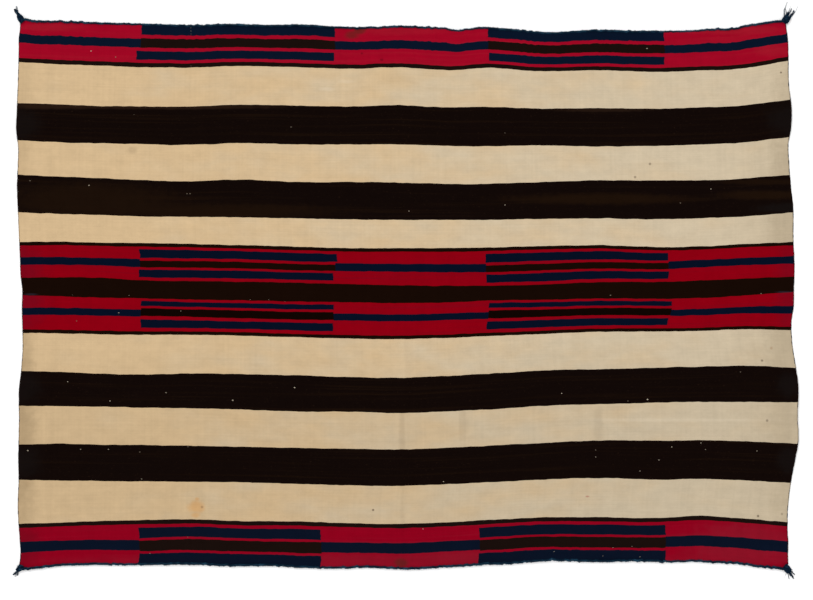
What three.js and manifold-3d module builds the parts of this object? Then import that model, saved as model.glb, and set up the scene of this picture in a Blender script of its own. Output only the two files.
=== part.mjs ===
// A hand-woven wool rug in banded tapestry weave, lying face up on the floor.
// One woven cloth, a twined cord lashed along each of its four edges, and a tassel where two
// cords are knotted together at each corner.
// Millimetres. +X runs along the stripes, +Y along the warp and +Z up. The pieces are worked out
// about the middle of the loom's rectangle, and the finished rug is then moved so that the
// origin is the middle of its footprint, on the floor.

import * as THREE from "three";
import { mergeVertices } from "three/addons/utils/BufferGeometryUtils.js";
import Module from "manifold-3d";

// The size the cloth was strung to on the loom, and its wool
const CLOTH_WIDTH = 1796;
const CLOTH_LENGTH = 1250;
const CLOTH_THICKNESS = 2.4;
const END_CORD_RADIUS = 1.8;
const SIDE_CORD_RADIUS = 1.1;
const GAP = 0.3;

// How fine the solids are
const LARGEST_CELL = 52;
const CORD_SIDES = 8;
const HEAD_SIDES = 12;
const STRAND_STEPS = 5;
const CORNER_BLOCK = 30;

const INDIGO = "#101a2c";
const UP = new THREE.Vector3(0, 0, 1);

// The two end edges, as the finished cloth has pulled off straight. A row for each place across
// the rug: how far the top and the bottom edge have moved, up being positive.
const END_EDGES = [
  { at: -898, top: 16, bottom: -11 },
  { at: -860, top: 17, bottom: -9 },
  { at: -804, top: 14, bottom: -2 },
  { at: -711, top: 11, bottom: 3 },
  { at: -640, top: 7, bottom: 2 },
  { at: -500, top: 4, bottom: 2 },
  { at: -400, top: 8, bottom: -3 },
  { at: -310, top: 3, bottom: -3 },
  { at: -240, top: 5, bottom: -6 },
  { at: -150, top: 1, bottom: -7 },
  { at: -77, top: 0, bottom: -5 },
  { at: 0, top: 2, bottom: -9 },
  { at: 75, top: 0, bottom: -6 },
  { at: 121, top: -8, bottom: -3 },
  { at: 180, top: 0, bottom: 1 },
  { at: 255, top: -4, bottom: 4 },
  { at: 345, top: -12, bottom: 11 },
  { at: 450, top: -6, bottom: 8 },
  { at: 540, top: -8, bottom: 8 },
  { at: 620, top: -12, bottom: 6 },
  { at: 690, top: -8, bottom: 9 },
  { at: 776, top: -3, bottom: 2 },
  { at: 839, top: 9, bottom: -6 },
  { at: 898, top: 14, bottom: -10 },
];

// The two side edges in the same way. A row for each place along the warp, and to the right is
// positive.
const SIDE_EDGES = [
  { at: -625, left: 2, right: -12 },
  { at: -590, left: 3, right: -8 },
  { at: -540, left: 0, right: -8 },
  { at: -490, left: -3, right: -6 },
  { at: -431, left: -1, right: -1 },
  { at: -385, left: -1, right: 10 },
  { at: -338, left: -1, right: 18 },
  { at: -290, left: 0, right: 16 },
  { at: -225, left: 1, right: 18 },
  { at: -175, left: 5, right: 12 },
  { at: -120, left: 9, right: 4 },
  { at: -70, left: 8, right: 2 },
  { at: -30, left: 7, right: 4 },
  { at: 5, left: 9, right: 4 },
  { at: 72, left: 3, right: 8 },
  { at: 130, left: 0, right: 6 },
  { at: 193, left: -1, right: 5 },
  { at: 242, left: -5, right: 1 },
  { at: 290, left: -3, right: -3 },
  { at: 340, left: -1, right: -6 },
  { at: 378, left: -5, right: -2 },
  { at: 425, left: -5, right: 2 },
  { at: 480, left: -3, right: -4 },
  { at: 550, left: 1, right: -6 },
  { at: 603, left: -1, right: -7 },
  { at: 625, left: 2, right: -12 },
];

// Old fold lines that run along the warp: a low ridge of that height between two places
const FOLDS = [
  { x: -832, from: -560, to: 560, height: 1.6, halfWidth: 17 },
  { x: -7, from: -640, to: -100, height: 2.2, halfWidth: 15 },
  { x: 825, from: -560, to: 300, height: 1.8, halfWidth: 17 },
];
const FOLD_FADE = 90;

// Places where the edge has been pulled longer than the cloth beside it, so that it stands off
// the floor: the middle of each swell, its reach and its height
const SWELLS = [
  { x: -560, y: 625, reachX: 170, reachY: 110, height: 2.2 },
  { x: 121, y: 625, reachX: 80, reachY: 130, height: 3.2 },
  { x: 345, y: 625, reachX: 130, reachY: 120, height: 2.6 },
  { x: 640, y: 625, reachX: 120, reachY: 120, height: 2.4 },
  { x: 898, y: 410, reachX: 90, reachY: 90, height: 2.4 },
  { x: 898, y: -285, reachX: 120, reachY: 170, height: 3.4 },
  { x: 640, y: -625, reachX: 150, reachY: 100, height: 2.2 },
  { x: 340, y: -625, reachX: 120, reachY: 110, height: 2.8 },
  { x: -230, y: -625, reachX: 150, reachY: 90, height: 2.2 },
  { x: -620, y: -625, reachX: 140, reachY: 90, height: 1.8 },
  { x: -898, y: -80, reachX: 90, reachY: 120, height: 2.6 },
  { x: -898, y: 400, reachX: 80, reachY: 110, height: 2.0 },
];

// The corner tassels. heading is the way the tassel points, in degrees from +X, and ahead is how
// far past the cloth's corner its head begins. A strand turns off the heading by turn degrees
// and bends sideways by bend at its tip.
const TASSELS = [
  {
    name: "tassel_top_left",
    side: -1,
    end: 1,
    heading: 112,
    ahead: 0.4,
    headLength: 17,
    headRadius: 5.2,
    strands: [
      { turn: 13, length: 31, thickness: 2.6, bend: 1 },
      { turn: -9, length: 40, thickness: 2.2, bend: 3 },
    ],
  },
  {
    name: "tassel_top_right",
    side: 1,
    end: 1,
    heading: 66,
    ahead: 0.4,
    headLength: 22,
    headRadius: 6.2,
    strands: [
      { turn: 34, length: 36, thickness: 1.5, bend: -7 },
      { turn: 22, length: 50, thickness: 1.7, bend: -2 },
      { turn: 9, length: 38, thickness: 1.7, bend: 2 },
      { turn: -2, length: 47, thickness: 1.9, bend: -2 },
      { turn: -14, length: 40, thickness: 1.7, bend: 2 },
      { turn: -27, length: 51, thickness: 1.7, bend: 6 },
    ],
  },
  {
    name: "tassel_bottom_right",
    side: 1,
    end: -1,
    heading: -48,
    ahead: 0.4,
    headLength: 16,
    headRadius: 6.6,
    strands: [
      { turn: 34, length: 23, thickness: 1.5, bend: -2 },
      { turn: 17, length: 30, thickness: 1.8, bend: -1 },
      { turn: 1, length: 37, thickness: 2.3, bend: -2 },
      { turn: -17, length: 30, thickness: 1.6, bend: 2 },
      { turn: -36, length: 27, thickness: 1.4, bend: 2 },
    ],
  },
  {
    name: "tassel_bottom_left",
    side: -1,
    end: -1,
    heading: -133,
    ahead: 0.4,
    headLength: 12,
    headRadius: 5.8,
    strands: [
      { turn: -12, length: 26, thickness: 2.2, bend: 0 },
      { turn: 8, length: 27, thickness: 1.6, bend: 1 },
      { turn: 30, length: 21, thickness: 1.6, bend: 1 },
    ],
  },
];
const HEAD_HEIGHT = 6.4;
const STRAND_TAPER = 0.45;

const clamp = THREE.MathUtils.clamp;
const lerp = THREE.MathUtils.lerp;

// A column of a table at any place between its rows, as a smooth line through them
function smoothed(rows, column, at) {
  const last = rows.length - 2;
  const i = clamp(rows.findLastIndex((row) => row.at <= at), 0, last);
  const slope = (k) => {
    const before = rows[Math.max(k - 1, 0)];
    const after = rows[Math.min(k + 1, rows.length - 1)];
    return (after[column] - before[column]) / (after.at - before.at);
  };
  const span = rows[i + 1].at - rows[i].at;
  const t = clamp((at - rows[i].at) / span, 0, 1);
  const rise = rows[i + 1][column] - rows[i][column];
  const startSlope = slope(i) * span;
  const endSlope = slope(i + 1) * span;
  const cubic = startSlope + endSlope - 2 * rise;
  const square = 3 * rise - 2 * startSlope - endSlope;
  return rows[i][column] + t * (startSlope + t * (square + t * cubic));
}

// A soft swell from 1 in the middle to 0 at the edge, where it meets the flat without a corner
function swell(distance) {
  const inside = Math.max(1 - distance * distance, 0);
  return inside * inside;
}

// How far the underside stands off the floor at a place of the loom's rectangle
function liftAt(x, y) {
  let lift = 0;
  for (const fold of FOLDS) {
    const past = Math.max(fold.from - y, y - fold.to, 0);
    lift = Math.max(lift, fold.height * swell((x - fold.x) / fold.halfWidth) * swell(past / FOLD_FADE));
  }
  for (const place of SWELLS) {
    const distance = Math.hypot((x - place.x) / place.reachX, (y - place.y) / place.reachY);
    lift = Math.max(lift, place.height * swell(distance));
  }
  return lift;
}

// Where a point of the loom's rectangle has come to lie on the finished cloth's underside
function clothPoint(x, y) {
  const across = x / CLOTH_WIDTH + 0.5;
  const along = y / CLOTH_LENGTH + 0.5;
  const sideways = lerp(smoothed(SIDE_EDGES, "left", y), smoothed(SIDE_EDGES, "right", y), across);
  const upwards = lerp(smoothed(END_EDGES, "bottom", x), smoothed(END_EDGES, "top", x), along);
  return new THREE.Vector3(x + sideways, y + upwards, liftAt(x, y));
}

// Grid lines from one edge to the other: both sides and the crest of each fold, with no two
// further apart than the largest cell
function gridLines(size, foldLines) {
  const marks = [-size / 2, size / 2, ...foldLines].sort((a, b) => a - b);
  const lines = [marks[0]];
  for (let i = 1; i < marks.length; i += 1) {
    const cells = Math.ceil((marks[i] - marks[i - 1]) / LARGEST_CELL);
    for (let k = 1; k <= cells; k += 1) {
      lines.push(lerp(marks[i - 1], marks[i], k / cells));
    }
  }
  return lines;
}

const COLUMNS = gridLines(
  CLOTH_WIDTH,
  FOLDS.flatMap((fold) => [fold.x - fold.halfWidth, fold.x, fold.x + fold.halfWidth]),
);
const ROWS = gridLines(CLOTH_LENGTH, []);

// Moves each vertex of a geometry to where place(x, y, z) puts it
function reshape(geometry, place) {
  const position = geometry.getAttribute("position");
  for (let i = 0; i < position.count; i += 1) {
    const moved = place(position.getX(i), position.getY(i), position.getZ(i));
    position.setXYZ(i, moved.x, moved.y, moved.z);
  }
  geometry.computeVertexNormals();
  return geometry;
}

// The woven cloth: a slab of even thickness on the grid, moved to the cloth's own outline
function wovenCloth() {
  const columns = COLUMNS.length - 1;
  const rows = ROWS.length - 1;
  const slab = new THREE.BoxGeometry(columns, rows, CLOTH_THICKNESS, columns, rows, 1);
  return reshape(slab, (x, y, z) => {
    const column = Math.round(x + columns / 2);
    const row = Math.round(y + rows / 2);
    const point = clothPoint(COLUMNS[column], ROWS[row]);
    point.z += z + CLOTH_THICKNESS / 2;
    return point;
  });
}

// The cloth's four edges and their cords. Each edge is walked clockwise, so that the cloth lies
// on the right hand.
const RIGHT = CLOTH_WIDTH / 2;
const TOP = CLOTH_LENGTH / 2;
const CORDS = [
  {
    name: "end_cord_top",
    radius: END_CORD_RADIUS,
    edge: COLUMNS.map((x) => clothPoint(x, TOP)),
  },
  {
    name: "side_cord_right",
    radius: SIDE_CORD_RADIUS,
    edge: ROWS.map((y) => clothPoint(RIGHT, y)).reverse(),
  },
  {
    name: "end_cord_bottom",
    radius: END_CORD_RADIUS,
    edge: COLUMNS.map((x) => clothPoint(x, -TOP)).reverse(),
  },
  {
    name: "side_cord_left",
    radius: SIDE_CORD_RADIUS,
    edge: ROWS.map((y) => clothPoint(-RIGHT, y)),
  },
];

// The way along a line of points at one of them, level with the floor
function headingAt(points, i) {
  const before = points[Math.max(i - 1, 0)];
  const after = points[Math.min(i + 1, points.length - 1)];
  return new THREE.Vector3(after.x - before.x, after.y - before.y, 0).normalize();
}

// A twined cord along one edge, just outside the cloth, with so much room added all round it
function edgeCord({ radius, edge }, room) {
  const steps = edge.length - 1;
  const thickness = radius + room;
  const rod = new THREE.CylinderGeometry(thickness, thickness, steps, CORD_SIDES, steps);
  return reshape(rod, (x, y, z) => {
    const i = Math.round(y + steps / 2);
    const along = headingAt(edge, i);
    const inwards = new THREE.Vector3().crossVectors(along, UP);
    return edge[i]
      .clone()
      .addScaledVector(inwards, x - radius - GAP)
      .addScaledVector(UP, z + radius);
  });
}

// The way that a heading in degrees from +X points, level with the floor
function wayAlong(degrees) {
  const heading = THREE.MathUtils.degToRad(degrees);
  return new THREE.Vector3(Math.cos(heading), Math.sin(heading), 0);
}

// Lays a shape that was made along +Y on the floor, from a point and on a heading
function laid(geometry, start, degrees) {
  const along = wayAlong(degrees);
  const across = new THREE.Vector3().crossVectors(along, UP);
  return reshape(geometry, (x, y, z) =>
    start.clone().addScaledVector(across, x).addScaledVector(along, y).addScaledVector(UP, z),
  );
}

// The bound head of a tassel: a flattened spindle, blunt at the cloth and slim at the strands
function tasselHead({ headLength, headRadius }) {
  const profile = [
    new THREE.Vector2(0, 0),
    new THREE.Vector2(headRadius * 0.62, headLength * 0.04),
    new THREE.Vector2(headRadius, headLength * 0.3),
    new THREE.Vector2(headRadius * 0.92, headLength * 0.55),
    new THREE.Vector2(headRadius * 0.66, headLength * 0.85),
    new THREE.Vector2(0, headLength),
  ];
  const spindle = new THREE.LatheGeometry(profile, HEAD_SIDES);
  const flattened = HEAD_HEIGHT / 2 / headRadius;
  return spindle.scale(1, 1, flattened).translate(0, 0, HEAD_HEIGHT / 2);
}

// A loose strand: a four-sided yarn that leaves the head's middle, comes down to the floor and
// lies level on it, thinner towards its tip
function looseStrand({ turn, length, thickness, bend }, headLength) {
  const yarn = new THREE.BoxGeometry(1, STRAND_STEPS, 1, 1, STRAND_STEPS, 1);
  const root = headLength * 0.45;
  const angle = THREE.MathUtils.degToRad(turn);
  return reshape(yarn, (x, y, z) => {
    const t = y / STRAND_STEPS + 0.5;
    const size = thickness * lerp(1, STRAND_TAPER, t);
    const level = HEAD_HEIGHT / 2 - thickness / 2;
    const drop = Math.max(1 - 3 * t, 0);
    const ahead = t * (length - root);
    const aside = x * size - bend * t * t;
    return new THREE.Vector3(
      aside * Math.cos(angle) - ahead * Math.sin(angle),
      root + ahead * Math.cos(angle) + aside * Math.sin(angle),
      (z + 0.5) * size + level * drop,
    );
  });
}

const wasm = await Module();
wasm.setup();

// A geometry as a solid that can be joined and cut
function solidOf(geometry) {
  const bare = geometry.clone();
  bare.deleteAttribute("normal");
  bare.deleteAttribute("uv");
  const merged = mergeVertices(bare, 1e-3);
  const mesh = new wasm.Mesh({
    numProp: 3,
    vertProperties: merged.getAttribute("position").array,
    triVerts: new Uint32Array(merged.index.array),
  });
  return new wasm.Manifold(mesh);
}

// A solid as a geometry that can be shown
function geometryOf(solid) {
  const mesh = solid.getMesh();
  const geometry = new THREE.BufferGeometry();
  geometry.setAttribute("position", new THREE.BufferAttribute(mesh.vertProperties, 3));
  geometry.setIndex(new THREE.BufferAttribute(mesh.triVerts, 1));
  geometry.computeVertexNormals();
  return geometry;
}

// The room that each piece of the rug needs round it, which a tassel's head is cut back from
function roomRound() {
  const rooms = CORDS.map((cord) => solidOf(edgeCord(cord, GAP)));
  const inset = CORNER_BLOCK / 2 - GAP;
  for (const side of [-1, 1]) {
    for (const end of [-1, 1]) {
      const corner = clothPoint(side * RIGHT, end * TOP);
      const block = new THREE.BoxGeometry(CORNER_BLOCK, CORNER_BLOCK, CORNER_BLOCK);
      block.translate(corner.x - side * inset, corner.y - end * inset, 0);
      rooms.push(solidOf(block));
    }
  }
  return rooms;
}

// A corner tassel: its strands grow out of its head, and the head is cut to sit in the corner
function cornerTassel(tassel, rooms) {
  const start = clothPoint(tassel.side * RIGHT, tassel.end * TOP).setZ(0);
  start.addScaledVector(wayAlong(tassel.heading), tassel.ahead);
  let solid = solidOf(laid(tasselHead(tassel), start, tassel.heading));
  for (const room of rooms) {
    solid = solid.subtract(room);
  }
  for (const strand of tassel.strands) {
    const yarn = looseStrand(strand, tassel.headLength);
    solid = solid.add(solidOf(laid(yarn, start, tassel.heading)));
  }
  return geometryOf(solid);
}

const creamWool = new THREE.MeshStandardMaterial({ color: "#cfb68f", roughness: 0.95, metalness: 0 });
const indigoCord = new THREE.MeshStandardMaterial({ color: INDIGO, roughness: 0.9, metalness: 0 });
const indigoYarn = new THREE.MeshStandardMaterial({ color: INDIGO, roughness: 0.95, metalness: 0 });

// A named mesh of the rug
function piece(name, geometry, material) {
  const mesh = new THREE.Mesh(geometry, material);
  mesh.name = name;
  return mesh;
}

const rug = new THREE.Group();
rug.add(piece("woven_cloth", wovenCloth(), creamWool));
for (const cord of CORDS) {
  rug.add(piece(cord.name, edgeCord(cord, 0), indigoCord));
}
const rooms = roomRound();
for (const tassel of TASSELS) {
  rug.add(piece(tassel.name, cornerTassel(tassel, rooms), indigoYarn));
}

// The middle of the whole footprint, tassels included, comes to the origin
const footprint = new THREE.Box3().setFromObject(rug);
const middle = footprint.getCenter(new THREE.Vector3());
rug.position.set(-middle.x, -middle.y, -footprint.min.z);

export default rug;
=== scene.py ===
# A hand-woven wool rug in banded tapestry weave, laid flat on a pale floor and seen from
# straight above. Sizes are in millimetres until a mesh is made, and +Y runs along the warp.
import bisect
import functools
import math

import bmesh
import bpy
from mathutils import Matrix, Vector, noise
from mathutils.bvhtree import BVHTree


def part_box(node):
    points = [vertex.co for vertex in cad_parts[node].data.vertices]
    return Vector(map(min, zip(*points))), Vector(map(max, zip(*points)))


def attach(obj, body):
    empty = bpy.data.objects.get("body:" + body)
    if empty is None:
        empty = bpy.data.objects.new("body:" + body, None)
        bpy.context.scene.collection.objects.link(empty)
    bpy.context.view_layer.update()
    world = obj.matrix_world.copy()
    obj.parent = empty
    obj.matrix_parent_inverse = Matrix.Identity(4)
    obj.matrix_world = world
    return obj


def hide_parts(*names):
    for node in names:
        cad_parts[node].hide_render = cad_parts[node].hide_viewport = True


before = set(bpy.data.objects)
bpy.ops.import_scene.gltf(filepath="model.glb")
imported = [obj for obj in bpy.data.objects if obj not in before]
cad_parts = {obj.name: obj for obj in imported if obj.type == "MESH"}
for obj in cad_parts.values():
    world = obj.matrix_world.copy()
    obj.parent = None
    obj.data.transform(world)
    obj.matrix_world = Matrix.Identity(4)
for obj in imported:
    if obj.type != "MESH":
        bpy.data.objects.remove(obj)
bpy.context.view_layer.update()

# The woven cloth: one piece of weft-faced wool tapestry with its bands and blocks woven in, so
# both faces look alike. It lies on the floor, and its edges and stripes have pulled off straight.
CLOTH_WIDTH = 1796
CLOTH_LENGTH = 1250
CLOTH_THICKNESS = 2.4
CELLS_ACROSS = 400
CELLS_ALONG = 112
EDGE_LINES = (0.0, 0.5, 1.6, 5.0)
EDGE_FULLNESS = (0.35, 0.75, 1.0, 1.0)

# How far the two end edges have moved up at places across the cloth
END_EDGES = (
    ("at", "top", "bottom"),
    (-898, 22, -11),
    (-886, 19.5, -10),
    (-862, 15.5, -8),
    (-804, 15, -1),
    (-711, 11, 1.5),
    (-640, 9, 0.8),
    (-500, 5.3, 2),
    (-400, 7.6, -1.6),
    (-310, 5, -1),
    (-240, 6.3, -5),
    (-150, 1, -7),
    (-77, 0.7, -5),
    (0, 3.4, -9),
    (75, 0, -6),
    (100, -2, -4),
    (127, -6.5, -3),
    (180, 0, 1),
    (255, -4, 4),
    (345, -12, 11),
    (450, -6, 8),
    (540, -8, 9.8),
    (620, -8.6, 7.6),
    (690, -7, 9.2),
    (716, -3.6, 6.8),
    (776, -2, 4),
    (806, 5.2, 0),
    (839, 9.6, -5),
    (862, 13.4, -6),
    (882, 15.5, -9),
    (898, 18, -11.5),
)

# How far the two side edges have moved to the right at places along the warp
SIDE_EDGES = (
    ("at", "left", "right"),
    (-625, -1, -6),
    (-595, 3.5, -6),
    (-570, 2, -5.5),
    (-540, 0, -7),
    (-490, -3, -6),
    (-431, -1, 1),
    (-385, -2, 10),
    (-338, -1, 18),
    (-290, 0, 16),
    (-225, -0.5, 18),
    (-175, 5, 12),
    (-120, 9, 4),
    (-70, 8, 2),
    (-30, 7, 7.6),
    (5, 7.6, 8),
    (40, 3.4, 9),
    (72, 2.5, 9),
    (130, 0, 6.5),
    (193, -3, 6.4),
    (242, -5, 1),
    (290, -3, -3),
    (340, -2, -5),
    (378, -6.4, 1),
    (425, -5, 2),
    (480, -3, -4),
    (550, -1, -5),
    (585, -0.5, -6.5),
    (605, 2.5, -9.5),
    (625, 3, -11.5),
)

# The edges of the wide bands: each one's height on the loom, and how far it has moved up at
# the stations across the cloth
STATIONS = (-899, -805, -712, -619, -502, -385, -245, -128, -12, 105, 198, 315, 455, 595, 689, 782, 899)
WEFT_LINES = (
    ("line", "height", "moves"),
    ("bottom_blue", -580.0, (-4, -0.5, 0, -1, 3, -1, -4, -6, -8, -3, 2, 9, 8, 7, 10, 5, -4)),
    ("bottom_line", -525.2, (-7, -4, 0, 2, 4, 0, -1, -5, -7, -3, 2, 8, 9, 7, 12, 7, -3)),
    ("black_4_foot", -431.8, (5, 3, 2, 1, 0, -1, -5, -8, -9, -5, -1, 5, 9, 5, 7, 4, -2)),
    ("black_4_top", -347.7, (1, 3, 1, 0, -2, -4, -7, -9, -10, -6, -1, 5, 11, 10, 11, 8, 3)),
    ("black_3_foot", -257.9, (4, 3, 2, 0, -2, -5, -10, -10, -13, -8, -4, 4, 8, 12, 13, 13, 12)),
    ("black_3_top", -178.5, (4, 2, -2, -4, -1, -3, -6, -10, -11, -6, -1, 6, 9, 13, 15, 17, 12)),
    ("lower_line", -87.4, (4, 2, 0, -1, -1, -3, -7, -10, -11, -8, -4, 1, 6, 7, 8, 12, 10)),
    ("lower_blue", -41.0, (6, 7, 5, 3, 0, -3, -6, -7, -9, -5, -3, 0, 4, 3, 5, 9, 9)),
    ("centre_foot", -5.7, (10, 6, 3, 2, -1, -3, -6, -7, -9, -7, -2, -1, 2, 1, 3, 9, 19)),
    ("centre_top", 34.0, (10, 11, 10, 4, 2, 1, -2, -5, -8, -9, -9, -6, 0, 0, 4, 8, 12)),
    ("upper_blue", 75.0, (8, 8, 6, 3, 2, 0, -5, -7, -8, -9, -8, -4, 0, -2, 3, 7, 11)),
    ("upper_line", 119.2, (7, 8, 6, 5, 3, 0, -4, -7, -7, -7, -5, -2, 0, -5, -3, 2, 7)),
    ("black_2_foot", 184.6, (14, 10, 7, 4, 3, 2, -1, -3, -4, -4, -4, -2, -1, -3, 0, 4, 13)),
    ("black_2_top", 268.6, (15, 11, 8, 3, 0, 4, -2, -2, -3, -6, -6, -2, 2, 2, 2, 6, 15)),
    ("black_1_foot", 356.1, (10, 5, 3, 1, -1, 3, 0, 0, 0, -3, -4, -2, -5, -3, 0, 4, 17)),
    ("black_1_top", 442.5, (8, 5, 1, 0, 0, 4, 2, 0, 3, -2, -1, -5, -4, -5, -2, 2, 16)),
    ("top_line", 534.7, (14, 9, 6, 2.5, 1.3, 5, 1.8, -1.4, 1.6, -5.2, 0.8, -7.2, -5.4, -9, -5.6, -2, 17)),
)

# Old folds along the warp, and places where an edge stands off the floor
FOLDS = (
    ("x", "start", "end", "height", "half_width"),
    (-832, -560, 560, 1.6, 17),
    (-7, -640, -100, 2.2, 15),
    (825, -560, 300, 1.8, 17),
)
FOLD_FADE = 90
SWELLS = (
    ("x", "y", "reach_x", "reach_y", "height"),
    (-560, 625, 170, 110, 2.2),
    (121, 625, 80, 130, 3.2),
    (345, 625, 130, 120, 2.6),
    (640, 625, 120, 120, 2.4),
    (898, 410, 90, 90, 2.4),
    (898, -285, 120, 170, 3.4),
    (640, -625, 150, 100, 2.2),
    (340, -625, 120, 110, 2.8),
    (-230, -625, 150, 90, 2.2),
    (-620, -625, 140, 90, 1.8),
    (-898, -80, 90, 120, 2.6),
    (-898, 400, 80, 110, 2.0),
)


def rows_of(table):
    """The rows of a table, each with its values under the table's column names"""
    return [dict(zip(table[0], row)) for row in table[1:]]


def smooth_line(places, values, at):
    """The height at one place of a smooth line through the values at their places"""
    last = len(places) - 2
    i = min(max(bisect.bisect_right(places, at) - 1, 0), last)

    def slope(k):
        before, after = max(k - 1, 0), min(k + 1, last + 1)
        return (values[after] - values[before]) / (places[after] - places[before])

    span = places[i + 1] - places[i]
    t = min(max((at - places[i]) / span, 0), 1)
    rise = values[i + 1] - values[i]
    start, end = slope(i) * span, slope(i + 1) * span
    return values[i] + t * (start + t * (3 * rise - 2 * start - end + t * (start + end - 2 * rise)))


def swell(distance):
    """From 1 in the middle to 0 at the edge, where it meets the flat without a corner"""
    return max(1 - distance * distance, 0) ** 2


def ripple(x, y, seed):
    """A smooth unevenness between about -1 and 1"""
    return noise.noise(Vector((x, y, seed)))


# The woolly edges reach a little further than the tables, which were read at their middles
FULLER_SIDES = 1.5
FULLER_TOP = 1.5
END_PLACES, TOP_MOVES, BOTTOM_MOVES = zip(*END_EDGES[1:])
SIDE_PLACES, LEFT_MOVES, RIGHT_MOVES = zip(*SIDE_EDGES[1:])
LINES = rows_of(WEFT_LINES)
LOOM_HEIGHTS = [-CLOTH_LENGTH / 2, *(line["height"] for line in LINES), CLOTH_LENGTH / 2]

# The unevenness of hand weaving: the length of its waves, and how far they move the cloth
BROAD_SCALLOP, BROAD_MOVE = 17, 1.6
SMALL_SCALLOP, SMALL_MOVE = 8, 2.4
SIDE_WAVE, SIDE_MOVE = 14, 0.5
WEFT_WAVE, WARP_WAVE, INNER_MOVE, INNER_FADE = 38, 26, 0.8, 20
LIFT_ACROSS, LIFT_ALONG, LIFT_HEIGHT, LIFT_SHARE = 75, 30, 0.5, 0.3


def scallops(x, seed):
    """How far the end edges bulge and draw in between the turns of the warp"""
    broad = BROAD_MOVE * ripple(x / BROAD_SCALLOP, 0, seed)
    return broad + SMALL_MOVE * ripple(x / SMALL_SCALLOP, 3, seed)


@functools.cache
def line_moves(x):
    """How far each woven line, from the bottom edge to the top one, has moved up there"""
    inner = [smooth_line(STATIONS, line["moves"], x) for line in LINES]
    bottom = smooth_line(END_PLACES, BOTTOM_MOVES, x) + scallops(x, 1)
    top = smooth_line(END_PLACES, TOP_MOVES, x) + FULLER_TOP + scallops(x, 2)
    return [bottom, *inner, top]


@functools.cache
def side_moves(y):
    """How far the left and the right edge have moved to the right there"""
    left = smooth_line(SIDE_PLACES, LEFT_MOVES, y) - FULLER_SIDES + SIDE_MOVE * ripple(y / SIDE_WAVE, 0, 3)
    right = smooth_line(SIDE_PLACES, RIGHT_MOVES, y) + FULLER_SIDES + SIDE_MOVE * ripple(y / SIDE_WAVE, 0, 4)
    return left, right


def lift(x, y):
    """How far the underside stands off the floor at a place of the loom's rectangle"""
    height = LIFT_HEIGHT * max(ripple(x / LIFT_ACROSS, y / LIFT_ALONG, 5) + LIFT_SHARE, 0)
    for fold in rows_of(FOLDS):
        past = max(fold["start"] - y, y - fold["end"], 0)
        across = (x - fold["x"]) / fold["half_width"]
        height = max(height, fold["height"] * swell(across) * swell(past / FOLD_FADE))
    for place in rows_of(SWELLS):
        distance = math.hypot((x - place["x"]) / place["reach_x"], (y - place["y"]) / place["reach_y"])
        height = max(height, place["height"] * swell(distance))
    return height


def cloth_point(x, y):
    """Where a point of the loom's rectangle has come to lie on the cloth's underside"""
    moves = line_moves(x)
    i = min(max(bisect.bisect_right(LOOM_HEIGHTS, y) - 1, 0), len(LOOM_HEIGHTS) - 2)
    t = (y - LOOM_HEIGHTS[i]) / (LOOM_HEIGHTS[i + 1] - LOOM_HEIGHTS[i])
    inside = min(1, (CLOTH_LENGTH / 2 - abs(y)) / INNER_FADE)
    wander = inside * INNER_MOVE * ripple(x / WEFT_WAVE, y / WARP_WAVE, 6)
    up = moves[i] + t * (moves[i + 1] - moves[i]) + wander
    left, right = side_moves(y)
    sideways = left + (right - left) * (x / CLOTH_WIDTH + 0.5)
    return Vector((x + sideways, y + up, lift(x, y)))


def grid_line(k, cells, size):
    """The place of a grid line, and how thick the cloth is there, being thin at its edges"""
    last = len(EDGE_LINES) - 1
    from_edge = min(k, cells - k)
    if from_edge <= last:
        distance, fullness = EDGE_LINES[from_edge], EDGE_FULLNESS[from_edge]
    else:
        cell = (size - 2 * EDGE_LINES[last]) / (cells - 2 * last)
        distance, fullness = EDGE_LINES[last] + (from_edge - last) * cell, 1.0
    return (distance - size / 2) * (1 if k < cells / 2 else -1), fullness


cloth_bm = bmesh.new()
bmesh.ops.create_grid(cloth_bm, x_segments=CELLS_ACROSS, y_segments=CELLS_ALONG, size=1)
fullness_layer = cloth_bm.verts.layers.float.new("fullness")
for vert in cloth_bm.verts:
    x, full_x = grid_line(round((vert.co.x + 1) / 2 * CELLS_ACROSS), CELLS_ACROSS, CLOTH_WIDTH)
    y, full_y = grid_line(round((vert.co.y + 1) / 2 * CELLS_ALONG), CELLS_ALONG, CLOTH_LENGTH)
    vert.co = (x, y, 0)
    vert[fullness_layer] = min(full_x, full_y)
bmesh.ops.solidify(cloth_bm, geom=cloth_bm.faces[:], thickness=CLOTH_THICKNESS)
lowest = min(vert.co.z for vert in cloth_bm.verts)
fullness_at = {
    (round(v.co.x, 2), round(v.co.y, 2)): v[fullness_layer] for v in cloth_bm.verts if v[fullness_layer] > 0
}
loom_layer = cloth_bm.verts.layers.float_vector.new("loom")
for vert in cloth_bm.verts:
    x, y, z = vert.co.x, vert.co.y, vert.co.z - lowest
    vert[loom_layer] = (x, y, z)
    full = fullness_at[(round(x, 2), round(y, 2))]
    point = cloth_point(x, y)
    point.z += CLOTH_THICKNESS / 2 + full * (z - CLOTH_THICKNESS / 2)
    vert.co = point
bmesh.ops.recalc_face_normals(cloth_bm, faces=cloth_bm.faces[:])

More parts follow.
